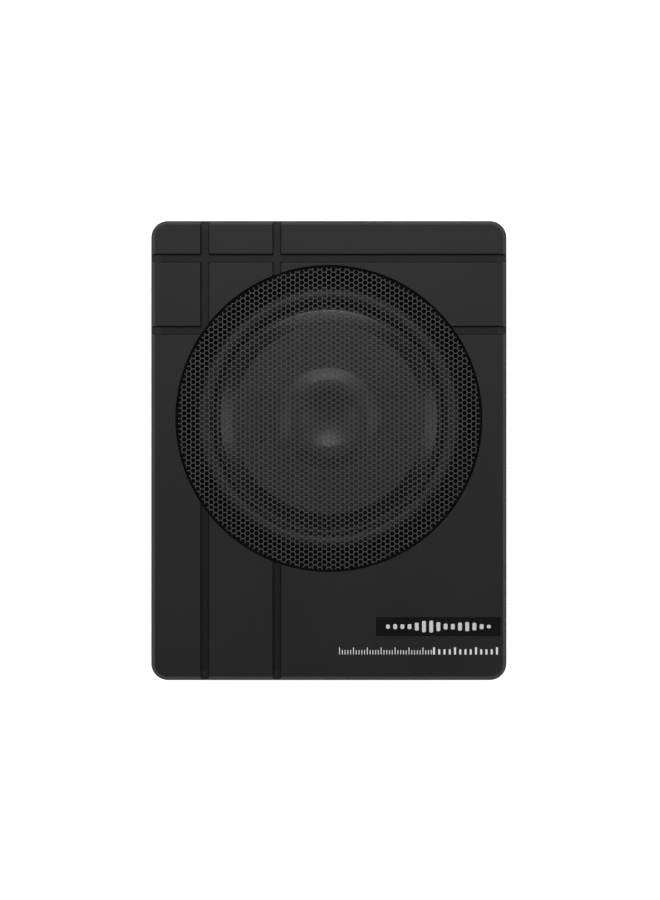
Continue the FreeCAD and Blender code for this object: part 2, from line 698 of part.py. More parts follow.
def blade_fuse():
    """The fuse, pushed in along +Y: a plastic cap over two blades."""
    cap = box(FUSE_X - 9.6, FUSE_X + 9.6, -169.0, -157, ROW_MID - 2.6, ROW_MID + 2.6)
    waist = [box(FUSE_X + s * 9.6 - 0.8, FUSE_X + s * 9.6 + 0.8, -165, -160, 0, HEIGHT) for s in (-1, 1)]
    cap = without(cap, *waist)
    grip = [e for e in cap.Edges if e.BoundBox.YMax < -168.9 and e.BoundBox.XLength > 10]
    cap = cap.makeChamfer(0.8, grip)
    blades = []
    for s in (-1, 1):
        x = FUSE_X + s * 6.7
        blades.append(box(x - 2.6, x + 2.6, -157.5, -146, ROW_MID - 0.4, ROW_MID + 0.4))
    return joined(cap, *blades)


def potentiometers():
    """Rotary controls on the control board, each with a threaded bushing through the panel."""
    for x in KNOB_X.values():
        body = box(x - 7, x + 7, -155, BOARD_Y, ROW_MID - 7, ROW_MID + 7)
        body = body.fuse(rod_y(3.6, -160.8, -155, x, ROW_MID))
        yield body.cut(rod_y(SHAFT_R + RUNNING, -161, -149, x, ROW_MID))


def knob(x):
    """A fluted push-on knob with a raised pointer, and the shaft that it turns."""
    z = ROW_MID
    body = Part.makeCone(6.5, 7.2, 9.5, vec(x, -171.0, z), vec(0, 1, 0))
    face_rim = [e for e in body.Edges if e.BoundBox.YMax < -170.9 and e.BoundBox.XLength > 10]
    body = body.makeFillet(0.8, face_rim)
    for k in range(18):
        a = math.radians(20 * k + 10)
        body = body.cut(rod_y(0.55, -172, -163.2, x + 7.05 * math.cos(a), z + 7.05 * math.sin(a)))
    body = joined(body, box(x - 0.5, x + 0.5, -171.4, -164, z + 2.0, z + 6.4))
    body = body.cut(rod_y(SHAFT_R + 0.02, -168, -161, x, z))
    shaft = rod_y(SHAFT_R, -167.9, -149.2, x, z)
    return body, shaft


def switch_bodies():
    for z in (ROW_LOW, ROW_HIGH):
        body = box(SWITCH_X - 6.5, SWITCH_X + 6.5, -157.8, BOARD_Y, z - 3.3, z + 3.3)
        yield body.cut(box(SWITCH_X - 3.7, SWITCH_X + 3.7, -158, -152, z - 1.7, z + 1.7))


def switch_slider(z):
    """A slider at the left end of its travel."""
    x = SWITCH_X - SWITCH_TRAVEL / 2
    nub = box(x - 1.4, x + 1.4, -163.0, -152.3, z - 1.4, z + 1.4)
    front = [e for e in nub.Edges if e.BoundBox.YMax < -162.9]
    return nub.makeFillet(0.35, front)


def rca_jack(z):
    """A phono socket: the block behind the panel with its insulating core, and the stepped metal sleeve."""
    block = box(RCA_X - 5.5, RCA_X + 5.5, -157.0, BOARD_Y, z - 5.5, z + 5.5)
    core = rod_y(3.4, -167.0, -156, RCA_X, z)
    socket = joined(block, core).cut(rod_y(1.6, -168, -151, RCA_X, z))
    sleeve = joined(rod_y(4.15, -169.0, -161.0, RCA_X, z), rod_y(4.85, -161.0, -157.0, RCA_X, z))
    return socket, sleeve.cut(rod_y(3.45, -170, -156, RCA_X, z))


def power_led():
    stem = rod_y(1.5, -161.0, BOARD_Y, REMOTE_X, LED_Z)
    dome = Part.makeSphere(1.5, vec(REMOTE_X, -161.0, LED_Z))
    base = rod_y(1.9, -157.5, -156.5, REMOTE_X, LED_Z)
    return joined(stem, dome, base)


def control_board():
    return box(-44, 101, BOARD_Y, BOARD_Y + BOARD_T, AMP_TOP, 53)


# ---------------------------------------------------------------- amplifier

def amp_board():
    board = box(-AMP_HALF_W, AMP_HALF_W, *AMP_Y, AMP_Z, AMP_TOP)
    return without(board, *[rod(1.4, 0, 20, x, y) for x, y in BOARD_SCREW_AT])


def capacitors():
    for k in range(4):
        x = -32.0 + 21.0 * k
        can = rod(9.0, AMP_TOP, 47.0, x, -124.0)
        lid = [e for e in can.Edges if e.BoundBox.ZMin > 46.9]
        yield can.makeFillet(1.2, lid)


def filter_choke():
    """A toroid core and its copper winding, which is one thick sleeve round the core with a gap."""
    x, y, ring_r, core_r, wound_r = -70.0, -127.5, 9.3, 3.8, 4.7
    at = vec(x, y, AMP_TOP + wound_r)
    core = Part.makeTorus(ring_r, core_r, at)
    sleeve = Part.makeTorus(ring_r, wound_r, at).cut(Part.makeTorus(ring_r, core_r + 0.02, at))
    gap = box(x - 2.5, x + 2.5, y - 20, y, 0, HEIGHT)
    return core, sleeve.cut(gap)


def transformer():
    """A ferrite-cored step-up transformer: bobbin with its winding, between two core halves."""
    x, y = 74.0, -125.0
    core = box(x - 16, x + 16, y - 12, y + 12, AMP_TOP + 3, AMP_TOP + 27)
    core = core.cut(box(x - 10, x + 10, y - 13, y + 13, AMP_TOP + 8, AMP_TOP + 22))
    bobbin = box(x - 9.7, x + 9.7, y - 15, y + 10, AMP_TOP + 8.2, AMP_TOP + 21.8)
    foot = box(x - 13, x + 13, y - 15, y + 13, AMP_TOP, AMP_TOP + 3)
    return core, joined(bobbin, box(x - 9.7, x + 9.7, y - 15, y - 12.2, AMP_TOP, AMP_TOP + 12), foot)


def heat_bar():
    return box(-84, 66, -107.5, -101.5, HOUSING_Z, 34)


def transistors():
    for k in range(6):
        x = -74.0 + 26.0 * k
        yield joined(
            box(x - 5, x + 5, -112.0, -108.7, 17, 26),
            box(x - 5, x + 5, -108.8, -107.5, 17, 32),
            *[box(x + d - 0.4, x + d + 0.4, -110.6, -110.1, AMP_TOP, 17.2) for d in (-2.5, 0, 2.5)],
        )


def driver_wires():
    """Twin leads from the amplifier board, through the partition, to each terminal board."""
    inner, outer = WIRE_X
    z = WIRE_Z
    right = [
        (outer, -117, AMP_TOP), (outer, -117, 22), (outer, -112, 30), (outer, -103, z + 0.2),
        (outer, -86, z), (99, -62, 29), (96, -34, 25), (87, -10, 25), (79, 11, 30),
        (77, DRIVER_Y - 3, 38), (77, DRIVER_Y, 45.5),
    ]
    left = [
        (inner, -118, AMP_TOP), (inner, -118, 21), (inner, -113, 30), (inner, -104, z + 0.2),
        (inner, -87, z), (84, -76, 29), (60, -70, 25), (26, -68, 23), (-12, -69, 22), (-46, -63, 23),
        (-72, -46, 25), (-84, -20, 26), (-83, 6, 31), (-78, DRIVER_Y - 3, 38), (-77, DRIVER_Y, 45.5),
    ]
    return [cable(route, WIRE_R) for route in (right, left)]


# ---------------------------------------------------------------- build

def build_cabinet():
    save("top_housing", top_housing())
    save("base_cover", base_cover())
    save("base_gasket", *gasket_ring(0.15).Solids)
    save("rubber_feet", *rubber_feet())
    down = (0, 0, -1)
    save("foot_screws", *[aimed(screw(*FOOT_SCREW), x, y, FOOT_SCREW_Z, down) for x, y in FOOT_AT])
    save("base_screws", *[aimed(screw(*BASE_SCREW), x, y, BASE_Z, down) for x, y in BASE_SCREW_AT])
    save("threaded_inserts", *threaded_inserts())
    save("name_badge", badge_block(BADGE_SIZE[0] / 2, BADGE_SIZE[1] / 2, BADGE_FLOOR, BADGE_TOP))
    save("badge_bars", *badge_bars())
    save("grille_mesh", grille_mesh())
    save("grille_ring", grille_ring())


def build_driver():
    frame = driver_frame()
    save("driver_frame", frame)
    foam, trim = flange_rings()
    save("driver_gasket", foam)
    save("trim_ring", trim)
    save("surround", surround())
    save("cone", cone())
    save("dust_cap", dust_cap())
    save("spider", spider())
    former, winding = voice_coil()
    save("coil_former", former)
    save("voice_coil", winding)
    top_plate, magnet, back = motor()
    save("top_plate", top_plate)
    save("magnet", magnet)
    save("back_plate", back)
    save("driver_screws", *[aimed(screw(*DRIVER_SCREW), x, y, TRIM_TOP) for x, y in driver_screw_places()])
    save("lead_eyelets", *[rod(1.7, CONE_TOP, CONE_TOP + 0.9, x, y) for x, y, _, _ in lead_places()])
    boards, lugs = terminal_boards(frame)
    save("terminal_boards", *boards)
    save("terminal_lugs", *lugs)
    save("tinsel_leads", *tinsel_leads())


def build_connector_end():
    save("control_panel", control_panel())
    panel_screw = screw(*PANEL_SCREW)
    save("panel_screws", *[aimed(panel_screw, x, PANEL_Y[0], z, (0, -1, 0)) for x, z in panel_screw_places()])
    power_pins = [(-7.0, -3.5), (0.0, -3.5), (7.0, -3.5), (0.0, 3.5)]
    shroud, pins = header(POWER_X, 12.0, 9.0, power_pins, (2.0, 0.5), True)
    save("power_header", shroud)
    speaker_pins = [(x, z) for x in (-3.3, 3.3) for z in (-2.1, 2.1)]
    shroud, small_pins = header(SPEAKER_X, 8.5, 6.5, speaker_pins, (0.6, 0.6), False)
    save("speaker_header", shroud)
    save("header_pins", *pins, *small_pins)
    save("remote_jack", remote_jack())
    save("fuse_holder", fuse_holder())
    save("blade_fuse", blade_fuse())
    save("potentiometers", *potentiometers())
    for name, x in KNOB_X.items():
        cap, shaft = knob(x)
        save(f"{name}_knob", cap)
        save(f"{name}_shaft", shaft)
    save("switch_bodies", *switch_bodies())
    save("phase_slider", switch_slider(ROW_HIGH))
    save("auto_on_slider", switch_slider(ROW_LOW))
    jacks = [rca_jack(z) for z in (ROW_LOW, ROW_HIGH)]
    save("rca_sockets", *[socket for socket, _ in jacks])
    save("rca_sleeves", *[sleeve for _, sleeve in jacks])
    save("power_led", power_led())
    save("control_board", control_board())


def build_amplifier():
    save("amp_board", amp_board())
    save("board_screws", *[aimed(screw(*BOARD_SCREW), x, y, AMP_TOP) for x, y in BOARD_SCREW_AT])
    save("capacitors", *capacitors())
    core, winding = filter_choke()
    save("choke_core", core)
    save("choke_winding", winding)
    core, bobbin = transformer()
    save("transformer_core", core)
    save("transformer_bobbin", bobbin)
    save("heat_bar", heat_bar())
    save("transistors", *transistors())
    save("driver_wires", *driver_wires())


build_cabinet()
build_driver()
build_connector_end()
build_amplifier()
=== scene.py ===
"""Looks of a powered under-seat subwoofer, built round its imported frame. Metres; +Z is out of the grille."""

import bpy
import bmesh
import math
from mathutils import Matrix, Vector


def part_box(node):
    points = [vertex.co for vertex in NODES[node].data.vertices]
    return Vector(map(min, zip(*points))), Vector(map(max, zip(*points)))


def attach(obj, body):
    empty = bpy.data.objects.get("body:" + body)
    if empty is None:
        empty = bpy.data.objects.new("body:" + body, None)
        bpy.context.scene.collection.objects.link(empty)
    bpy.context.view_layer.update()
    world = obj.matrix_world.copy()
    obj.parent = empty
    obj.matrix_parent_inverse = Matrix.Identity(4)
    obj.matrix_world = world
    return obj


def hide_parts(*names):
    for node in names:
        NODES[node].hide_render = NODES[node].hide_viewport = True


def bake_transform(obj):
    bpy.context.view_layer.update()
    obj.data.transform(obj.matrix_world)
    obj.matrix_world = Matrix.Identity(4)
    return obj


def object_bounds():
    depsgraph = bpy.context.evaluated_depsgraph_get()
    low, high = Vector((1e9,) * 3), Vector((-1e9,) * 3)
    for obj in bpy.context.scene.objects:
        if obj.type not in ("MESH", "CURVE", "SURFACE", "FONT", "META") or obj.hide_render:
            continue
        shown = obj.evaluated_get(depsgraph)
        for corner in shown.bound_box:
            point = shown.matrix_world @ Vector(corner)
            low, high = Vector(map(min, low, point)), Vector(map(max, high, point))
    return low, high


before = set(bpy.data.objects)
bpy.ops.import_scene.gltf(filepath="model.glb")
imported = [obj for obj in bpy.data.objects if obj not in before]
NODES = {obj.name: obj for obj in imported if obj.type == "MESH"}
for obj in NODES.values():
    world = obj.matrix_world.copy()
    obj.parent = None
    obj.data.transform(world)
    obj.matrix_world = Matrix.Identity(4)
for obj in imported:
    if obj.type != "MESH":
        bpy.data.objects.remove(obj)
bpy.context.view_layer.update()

MM = 0.001

LOW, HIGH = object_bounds()
TOP = HIGH.z
HALF_X = HIGH.x
HALF_Y = HIGH.y

mesh_lo, mesh_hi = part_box("grille_mesh")
AXIS = Vector(((mesh_lo.x + mesh_hi.x) / 2, (mesh_lo.y + mesh_hi.y) / 2, 0))
MESH_R = (mesh_hi.x - mesh_lo.x) / 2


# ---------------------------------------------------------------- materials

def new_material(name):
    mat = bpy.data.materials.new(name)
    mat.use_nodes = True
    return mat, mat.node_tree, mat.node_tree.nodes["Principled BSDF"]


def mapped(tree, stretch=(1, 1, 1)):
    """Object coordinates, in metres, stretched along each axis."""
    coords = tree.nodes.new("ShaderNodeTexCoord")
    mapping = tree.nodes.new("ShaderNodeMapping")
    mapping.inputs["Scale"].default_value = stretch
    tree.links.new(coords.outputs["Object"], mapping.inputs["Vector"])
    return mapping.outputs["Vector"]


def noise(tree, size, detail=2.0, stretch=(1, 1, 1), roughness=0.5):
    """Noise whose features are about size metres across."""
    node = tree.nodes.new("ShaderNodeTexNoise")
    node.inputs["Scale"].default_value = 1.0 / size
    node.inputs["Detail"].default_value = detail
    node.inputs["Roughness"].default_value = roughness
    tree.links.new(mapped(tree, stretch), node.inputs["Vector"])
    return node.outputs["Fac"]


def ramp(tree, value, stops):
    """A colour ramp from (place, colour) stops."""
    node = tree.nodes.new("ShaderNodeValToRGB")
    while len(node.color_ramp.elements) < len(stops):
        node.color_ramp.elements.new(0.5)
    for element, (place, colour) in zip(node.color_ramp.elements, stops):
        element.position = place
        element.color = (*colour, 1.0)
    tree.links.new(value, node.inputs["Fac"])
    return node.outputs["Color"]


def spread(tree, value, low, high):
    """Noise mapped to a range, over the middle of its own range."""
    node = tree.nodes.new("ShaderNodeMapRange")
    node.inputs["From Min"].default_value = 0.3
    node.inputs["From Max"].default_value = 0.7
    node.inputs["To Min"].default_value = low
    node.inputs["To Max"].default_value = high
    tree.links.new(value, node.inputs["Value"])
    return node.outputs["Result"]


def smooth_step(tree, value, low, high):
    """A smooth step in a value, from 0 at low to 1 at high."""
    node = tree.nodes.new("ShaderNodeMapRange")
    node.interpolation_type = "SMOOTHSTEP"
    node.inputs["From Min"].default_value = low
    node.inputs["From Max"].default_value = high
    tree.links.new(value, node.inputs["Value"])
    return node.outputs["Result"]


def math_node(tree, operation, a, b=None):
    """A sum, product or other operation on two sockets or numbers."""
    node = tree.nodes.new("ShaderNodeMath")
    node.operation = operation
    for socket, value in zip(node.inputs, (a, b)):
        if isinstance(value, (int, float)):
            socket.default_value = value
        elif value is not None:
            tree.links.new(value, socket)
    return node.outputs["Value"]


def bumped(tree, bsdf, layers):
    """Stacked bumps, each (height output, depth in metres)."""
    normal = None
    for height, depth in layers:
        node = tree.nodes.new("ShaderNodeBump")
        node.inputs["Strength"].default_value = 1.0
        node.inputs["Distance"].default_value = depth
        tree.links.new(height, node.inputs["Height"])
        if normal:
            tree.links.new(normal, node.inputs["Normal"])
        normal = node.outputs["Normal"]
    tree.links.new(normal, bsdf.inputs["Normal"])


def scaled(colour, factor):
    return tuple(min(1.0, c * factor) for c in colour)


def moulded(name, colour, rough, grain=0.6, depth=0.01, vary=0.18, spec=0.5, patch=30.0):
    """Plastic, paint or rubber: fine grain in the tone and the surface, and slow changes of roughness.
    grain, depth and patch are in millimetres."""
    mat, tree, bsdf = new_material(name)
    fine = noise(tree, grain * MM, 3.0, roughness=0.6)
    slow = noise(tree, patch * MM, 3.0)
    tone = ramp(tree, fine, [(0.3, scaled(colour, 1 - vary)), (0.7, scaled(colour, 1 + vary))])
    tree.links.new(tone, bsdf.inputs["Base Color"])
    wear = spread(tree, slow, max(0.02, rough - 0.05), min(1.0, rough + 0.05))
    tree.links.new(wear, bsdf.inputs["Roughness"])
    bsdf.inputs["Specular IOR Level"].default_value = spec
    bumped(tree, bsdf, [(fine, depth * MM)])
    return mat


def brushed(name, colour, rough=0.32, stretch=(1, 1, 14), grain=0.35, depth=0.004):
    """Drawn or turned metal, with fine lines across the stretched axis."""
    mat, tree, bsdf = new_material(name)
    lines = noise(tree, grain * MM, 4.0, stretch, 0.7)
    slow = noise(tree, 12 * MM, 2.0)
    tone = ramp(tree, lines, [(0.25, scaled(colour, 0.82)), (0.75, scaled(colour, 1.12))])
    tree.links.new(tone, bsdf.inputs["Base Color"])
    tree.links.new(spread(tree, slow, rough - 0.06, rough + 0.08), bsdf.inputs["Roughness"])
    bsdf.inputs["Metallic"].default_value = 1.0
    bumped(tree, bsdf, [(lines, depth * MM)])
    return mat


def wound(name, colour, pitch, axis):
    """Close turns of enamelled wire, wound round an axis."""
    mat, tree, bsdf = new_material(name)
    wave = tree.nodes.new("ShaderNodeTexWave")
    wave.wave_type = "BANDS"
    wave.bands_direction = axis
    wave.inputs["Scale"].default_value = math.pi / (10 * pitch * MM)
    wave.inputs["Distortion"].default_value = 0.6
    wave.inputs["Detail"].default_value = 2.0
    tree.links.new(mapped(tree), wave.inputs["Vector"])
    turns = wave.outputs["Fac"]
    tree.links.new(ramp(tree, turns, [(0.1, scaled(colour, 0.35)), (0.6, colour)]), bsdf.inputs["Base Color"])
    bsdf.inputs["Metallic"].default_value = 1.0
    bsdf.inputs["Roughness"].default_value = 0.34
    bumped(tree, bsdf, [(turns, 0.1 * MM)])
    return mat


def woven(name, colour, thread):
    """Resin-dipped cloth with crossing threads."""
    mat, tree, bsdf = new_material(name)
    heights = []
    for axis in ("X", "Y"):
        wave = tree.nodes.new("ShaderNodeTexWave")
        wave.bands_direction = axis
        wave.inputs["Scale"].default_value = math.pi / (10 * thread * MM)
        wave.inputs["Distortion"].default_value = 0.8
        tree.links.new(mapped(tree), wave.inputs["Vector"])
        heights.append(wave.outputs["Fac"])
    weave = math_node(tree, "MAXIMUM", *heights)
    tree.links.new(ramp(tree, weave, [(0.1, scaled(colour, 0.4)), (0.8, colour)]), bsdf.inputs["Base Color"])
    bsdf.inputs["Roughness"].default_value = 0.8
    bumped(tree, bsdf, [(weave, 0.12 * MM)])
    return mat


def circuit(name):
    """Green solder mask over copper tracks."""
    mat, tree, bsdf = new_material(name)
    brick = tree.nodes.new("ShaderNodeTexBrick")
    brick.inputs["Scale"].default_value = 1 / 0.012
    brick.inputs["Color1"].default_value = (0.010, 0.085, 0.030, 1)
    brick.inputs["Color2"].default_value = (0.014, 0.110, 0.040, 1)
    brick.inputs["Mortar"].default_value = (0.020, 0.160, 0.055, 1)
    brick.inputs["Mortar Size"].default_value = 0.03
    tree.links.new(mapped(tree), brick.inputs["Vector"])
    tree.links.new(brick.outputs["Color"], bsdf.inputs["Base Color"])
    bsdf.inputs["Roughness"].default_value = 0.35
    bumped(tree, bsdf, [(brick.outputs["Fac"], 0.03 * MM)])
    return mat


BODY_GREY = (0.0090, 0.0090, 0.0092)
EDGE_BAND = 8.0 * MM
EDGE_FADE = 1.0 * MM
# Painted shade in the grooves: between these depths the paint's tone is darkened, down to the share below at
# the groove floor.
GROOVE_SHADE_DEPTH = 2.2 * MM
GROOVE_SHADE_START_DEPTH = 0.2 * MM
GROOVE_SHADE_TONE = 0.25


def painted_groove_shade(mat):
    """Painted shade in the grooves: the paint's tone is darkened with depth there, standing in for the shade
    that falls inside them.
    The outer band of the top keeps its tone, because its edge also falls away from the top face."""
    tree = mat.node_tree
    bsdf = tree.nodes["Principled BSDF"]
    coords = tree.nodes.new("ShaderNodeTexCoord")
    parts = tree.nodes.new("ShaderNodeSeparateXYZ")
    tree.links.new(coords.outputs["Object"], parts.inputs["Vector"])
    x = math_node(tree, "ABSOLUTE", parts.outputs["X"])
    y = math_node(tree, "ABSOLUTE", parts.outputs["Y"])
    clear_x = smooth_step(tree, x, HALF_X - EDGE_BAND, HALF_X - EDGE_BAND + EDGE_FADE)
    clear_y = smooth_step(tree, y, HALF_Y - EDGE_BAND, HALF_Y - EDGE_BAND + EDGE_FADE)
    high = smooth_step(tree, parts.outputs["Z"], TOP - GROOVE_SHADE_DEPTH, TOP - GROOVE_SHADE_START_DEPTH)
    keep = math_node(tree, "MAXIMUM", high, math_node(tree, "MAXIMUM", clear_x, clear_y))
    # The share of the paint's tone that is kept; below one it is painted shade in the grooves.
    share = math_node(tree, "ADD", math_node(tree, "MULTIPLY", keep, 1 - GROOVE_SHADE_TONE), GROOVE_SHADE_TONE)
    painted = bsdf.inputs["Base Color"].links[0].from_socket
    mix = tree.nodes.new("ShaderNodeMix")
    mix.data_type = "RGBA"
    mix.inputs[6].default_value = (0, 0, 0, 1)
    tree.links.new(share, mix.inputs[0])
    tree.links.new(painted, mix.inputs[7])
    tree.links.new(mix.outputs[2], bsdf.inputs["Base Color"])
    return mat


FINISH_EDGE = 1.5 * MM


def glossier_inside(mat, radius, gloss_rough, outer_rough):
    """Two finishes on one turned piece: smoother within a radius of the driver axis, rougher outside it."""
    tree = mat.node_tree
    bsdf = tree.nodes["Principled BSDF"]
    coords = tree.nodes.new("ShaderNodeTexCoord")
    offset = tree.nodes.new("ShaderNodeVectorMath")
    offset.operation = "SUBTRACT"
    offset.inputs[1].default_value = AXIS
    flat = tree.nodes.new("ShaderNodeVectorMath")
    flat.operation = "MULTIPLY"
    flat.inputs[1].default_value = (1, 1, 0)
    far = tree.nodes.new("ShaderNodeVectorMath")
    far.operation = "LENGTH"
    tree.links.new(coords.outputs["Object"], offset.inputs[0])
    tree.links.new(offset.outputs["Vector"], flat.inputs[0])
    tree.links.new(flat.outputs["Vector"], far.inputs[0])
    outside = smooth_step(tree, far.outputs["Value"], radius - FINISH_EDGE, radius + FINISH_EDGE)
    step = math_node(tree, "MULTIPLY", outside, outer_rough - gloss_rough)
    wear = spread(tree, noise(tree, 30 * MM, 3.0), gloss_rough - 0.03, gloss_rough + 0.03)
    tree.links.new(math_node(tree, "ADD", step, wear), bsdf.inputs["Roughness"])
    return mat


# The cabinet's powder coat, with painted shade darkening it down inside the grooves.
cabinet_paint = painted_groove_shade(moulded(
    "cabinet_powder_coat", BODY_GREY, 0.52, grain=0.55, depth=0.035, vary=0.30, patch=60, spec=0.28))
cover_paint = moulded("cover_paint", (0.018, 0.018, 0.018), 0.45, grain=0.5, depth=0.01)
grille_paint = moulded("grille_powder_coat", (0.050, 0.050, 0.0505), 0.42, grain=0.35, depth=0.008, vary=0.12)
# The grille ring, basket and trim ring are black parts, but their tones are set far below a real black as
# painted shade, standing in for the shade deep in the driver's recess under the grille.
ring_plastic = moulded("grille_ring_felt", (0.0015, 0.0015, 0.0015), 0.85, grain=0.4, depth=0.03, spec=0.10)
frame_paint = moulded("basket_enamel", (0.001, 0.001, 0.001), 0.65, grain=0.8, depth=0.01, spec=0.12)
roll_rubber = glossier_inside(
    moulded("surround_rubber", (0.003, 0.003, 0.0031), 0.36, grain=0.3, depth=0.006, vary=0.1),
    radius=85 * MM, gloss_rough=0.28, outer_rough=0.54)
trim_rubber = moulded("trim_rubber", (0.001, 0.001, 0.001), 0.80, grain=0.5, depth=0.012, spec=0.08)
foot_rubber = moulded("foot_rubber", (0.012, 0.012, 0.012), 0.75, grain=0.5, depth=0.03)
foam = moulded("gasket_foam", (0.02, 0.02, 0.02), 0.9, grain=0.9, depth=0.12, vary=0.4)
cone_fibre = moulded("cone_fibre", (0.022, 0.022, 0.0225), 0.42, grain=0.5, depth=0.012, vary=0.15)
cap_plastic = moulded("dust_cap", (0.025, 0.025, 0.0255), 0.38, grain=0.4, depth=0.008, vary=0.10)
glue_black = moulded("eyelet_glue", (0.004, 0.004, 0.004), 0.5, grain=1.5, depth=0.08)
phenolic = moulded("phenolic", (0.20, 0.085, 0.030), 0.5, grain=0.7, depth=0.01)
panel_plastic = moulded("panel_plastic", (0.0135, 0.0135, 0.0138), 0.55, grain=0.5, depth=0.025, vary=0.25)
header_plastic = moulded("header_nylon", (0.010, 0.010, 0.010), 0.42, grain=0.6, depth=0.008)
jack_plastic = moulded("jack_plastic", (0.008, 0.008, 0.008), 0.28, grain=0.8, depth=0.005)
knob_plastic = moulded("knob_plastic", (0.011, 0.011, 0.011), 0.38, grain=0.35, depth=0.008)
switch_plastic = moulded("switch_plastic", (0.35, 0.35, 0.34), 0.4, grain=0.5, depth=0.006)
chip_plastic = moulded("moulded_package", (0.010, 0.010, 0.010), 0.5, grain=0.3, depth=0.01)
capacitor_sleeve = moulded("capacitor_sleeve", (0.010, 0.010, 0.016), 0.3, grain=2.0, depth=0.02)
bobbin_tape = moulded("winding_tape", (0.35, 0.23, 0.02), 0.35, grain=1.2, depth=0.03)
wire_jacket = moulded("wire_jacket", (0.22, 0.006, 0.006), 0.45, grain=1.0, depth=0.01)
ferrite = moulded("ferrite", (0.030, 0.030, 0.032), 0.55, grain=0.4, depth=0.02, vary=0.3)
badge_gloss = moulded(
    "badge_gloss", (0.004, 0.004, 0.0042), 0.40, grain=8.0, depth=0.003, vary=0.05, spec=0.14)
badge_silver = moulded("badge_silver_ink", (0.60, 0.60, 0.61), 0.30, grain=0.3, depth=0.003, vary=0.06)
print_white = moulded("printed_white", (0.72, 0.73, 0.74), 0.55, grain=0.25, depth=0.006, vary=0.10)
print_grey = moulded("printed_grey", (0.42, 0.43, 0.44), 0.55, grain=0.25, depth=0.006, vary=0.10)
screw_black = brushed("black_zinc", (0.045, 0.045, 0.047), 0.34, grain=0.4)
screw_matt = moulded("blackened_screw", (0.004, 0.004, 0.004), 0.6, grain=0.5, depth=0.01, spec=0.25)
motor_steel = brushed("zinc_plate", (0.55, 0.56, 0.56), 0.3)
brass = brushed("turned_brass", (0.72, 0.52, 0.22), 0.28)
foil = brushed("former_foil", (0.75, 0.75, 0.76), 0.25)
tinned = brushed("tinned", (0.70, 0.69, 0.66), 0.3, stretch=(1, 8, 1))
nickel = brushed("nickel_plate", (0.68, 0.67, 0.64), 0.18, stretch=(1, 10, 1), depth=0.001)
shaft_metal = brushed("turned_aluminium", (0.62, 0.62, 0.63), 0.3, stretch=(1, 12, 1))
pot_case = brushed("plated_case", (0.58, 0.58, 0.57), 0.35)
bar_metal = brushed("extruded_bar", (0.66, 0.66, 0.67), 0.35, stretch=(14, 1, 1))
coil_wire = wound("coil_wire", (0.72, 0.33, 0.18), 0.35, "Z")
choke_wire = wound("choke_wire", (0.72, 0.33, 0.18), 1.1, "X")
spider_cloth = woven("spider_cloth", (0.42, 0.27, 0.09), 0.8)
braid = woven("lead_braid", (0.62, 0.36, 0.20), 0.25)
board_green = circuit("circuit_board")


def glowing_lens(name, colour):
    mat, tree, bsdf = new_material(name)
    fine = noise(tree, 0.5 * MM, 2.0)
    tree.links.new(ramp(tree, fine, [(0.3, scaled(colour, 0.8)), (0.7, colour)]), bsdf.inputs["Base Color"])
    bsdf.inputs["Roughness"].default_value = 0.15
    bsdf.inputs["Coat Weight"].default_value = 0.5
    bumped(tree, bsdf, [(fine, 0.004 * MM)])
    return mat


led_red = glowing_lens("led_lens", (0.30, 0.008, 0.006))
fuse_amber = glowing_lens("fuse_plastic", (0.36, 0.15, 0.006))


def two_tone(name, low_colour, high_colour, split):
    """One moulding colour below a height and another above it."""
    mat, tree, bsdf = new_material(name)
    coords = tree.nodes.new("ShaderNodeTexCoord")
    parts = tree.nodes.new("ShaderNodeSeparateXYZ")
    tree.links.new(coords.outputs["Object"], parts.inputs["Vector"])
    above = math_node(tree, "GREATER_THAN", parts.outputs["Z"], split)
    tree.links.new(ramp(tree, above, [(0.4, low_colour), (0.6, high_colour)]), bsdf.inputs["Base Color"])
    bsdf.inputs["Roughness"].default_value = 0.32
    bumped(tree, bsdf, [(noise(tree, 0.6 * MM), 0.006 * MM)])
    return mat


phono_lo, phono_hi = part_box("rca_sockets")
phono_plastic = two_tone(
    "phono_plastic", (0.42, 0.012, 0.010), (0.62, 0.62, 0.60), (phono_lo.z + phono_hi.z) / 2)

FINISHES = {
    "top_housing": cabinet_paint, "base_cover": cover_paint, "base_gasket": foam,
    "rubber_feet": foot_rubber, "foot_screws": screw_black, "base_screws": screw_black,
    "threaded_inserts": brass, "name_badge": badge_gloss, "badge_bars": badge_silver,
    "grille_mesh": grille_paint, "grille_ring": ring_plastic, "driver_frame": frame_paint,
    "driver_gasket": foam, "trim_ring": trim_rubber, "surround": roll_rubber, "cone": cone_fibre,
    "dust_cap": cap_plastic, "spider": spider_cloth, "coil_former": foil, "voice_coil": coil_wire,
    "top_plate": motor_steel, "magnet": ferrite, "back_plate": motor_steel, "driver_screws": screw_matt,
    "lead_eyelets": glue_black, "terminal_boards": phenolic, "terminal_lugs": tinned,
    "tinsel_leads": coil_wire,
    "control_panel": panel_plastic, "panel_screws": screw_black, "power_header": header_plastic,
    "speaker_header": header_plastic, "header_pins": tinned, "remote_jack": jack_plastic,
    "fuse_holder": header_plastic, "blade_fuse": fuse_amber, "potentiometers": pot_case,
    "level_knob": knob_plastic, "lowpass_knob": knob_plastic, "bass_knob": knob_plastic,
    "level_shaft": shaft_metal, "lowpass_shaft": shaft_metal, "bass_shaft": shaft_metal,
    "switch_bodies": pot_case, "phase_slider": switch_plastic, "auto_on_slider": switch_plastic,
    "rca_sockets": phono_plastic, "rca_sleeves": nickel, "power_led": led_red, "control_board": board_green,
    "amp_board": board_green, "board_screws": screw_black, "capacitors": capacitor_sleeve,
    "choke_core": ferrite,
    "choke_winding": choke_wire, "transformer_core": ferrite, "transformer_bobbin": bobbin_tape,
    "heat_bar": bar_metal, "transistors": chip_plastic, "driver_wires": wire_jacket,
}


for node, material in FINISHES.items():
    slots = NODES[node].data.materials
    slots.clear()
    slots.append(material)


# ---------------------------------------------------------------- mesh helpers

